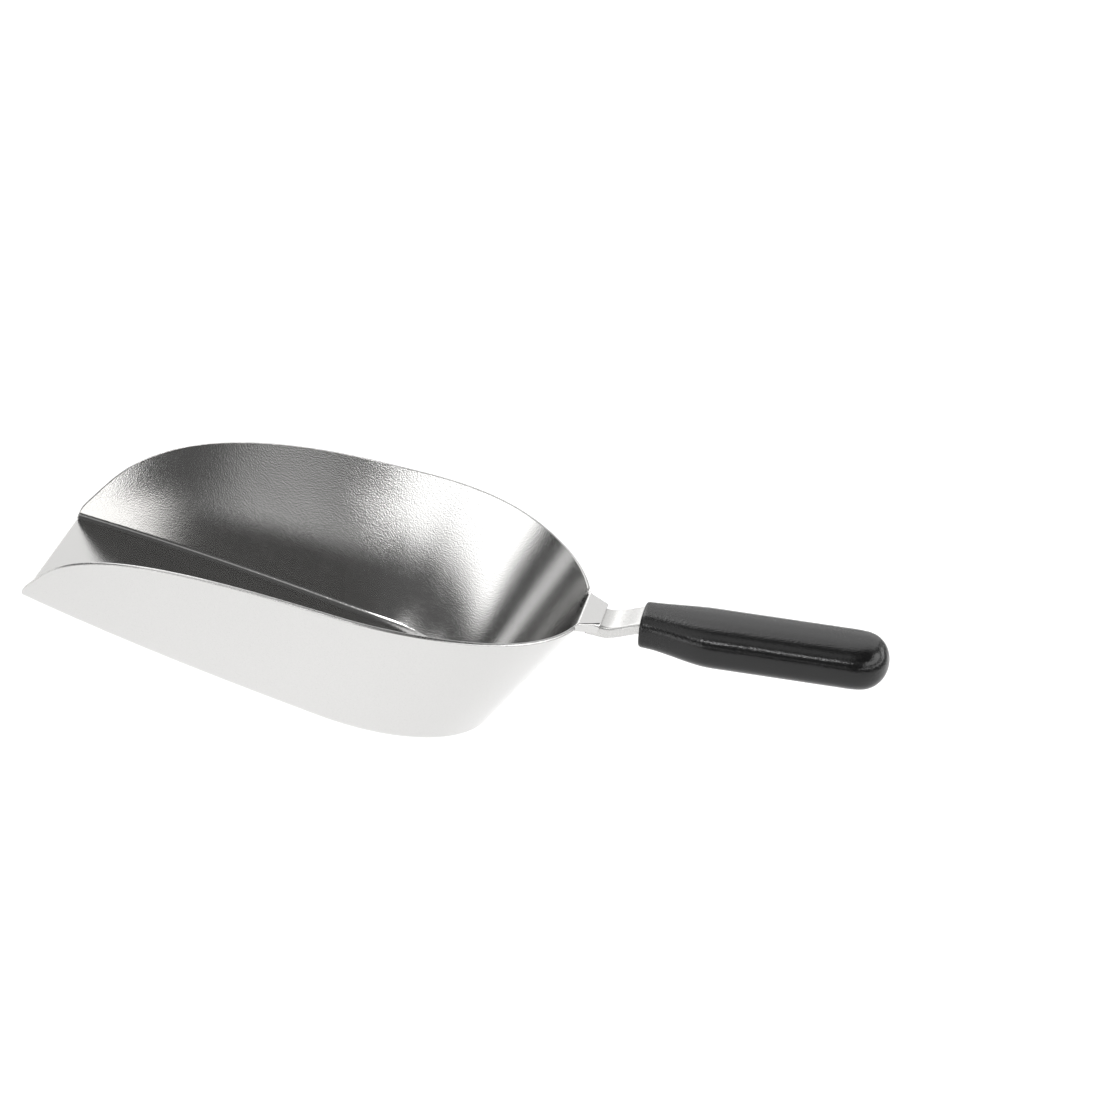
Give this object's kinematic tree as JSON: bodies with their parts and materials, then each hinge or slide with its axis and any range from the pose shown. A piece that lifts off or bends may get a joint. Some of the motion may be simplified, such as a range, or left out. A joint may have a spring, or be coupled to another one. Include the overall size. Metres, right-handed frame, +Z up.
{
  "type": "ice scoop",
  "caption": "Flat-bottomed steel ice scoop with a flared open-front bowl, a short formed shank and a black moulded grip.",
  "frame": {"origin": "underside of the flat floor, on the centre plane, 65 mm behind the pouring lip", "axes": "+X from the pouring lip towards the grip, +Z up out of the bowl, +Y to the left when looking along +X"},
  "size_m": [0.2308, 0.0968, 0.0661],
  "materials": {
    "bowl_steel": "rolled stainless sheet, fine satin grain, mirror-like at low angles",
    "shank_steel": "rolled stainless strip, slightly duller than the bowl",
    "grip_plastic": "black moulded plastic, fine spark-eroded texture, semi-gloss"
  },
  "bodies": {
    "root": {"bowl": "bowl_steel", "shank": "shank_steel", "grip": "grip_plastic"}
  },
  "joints": []
}
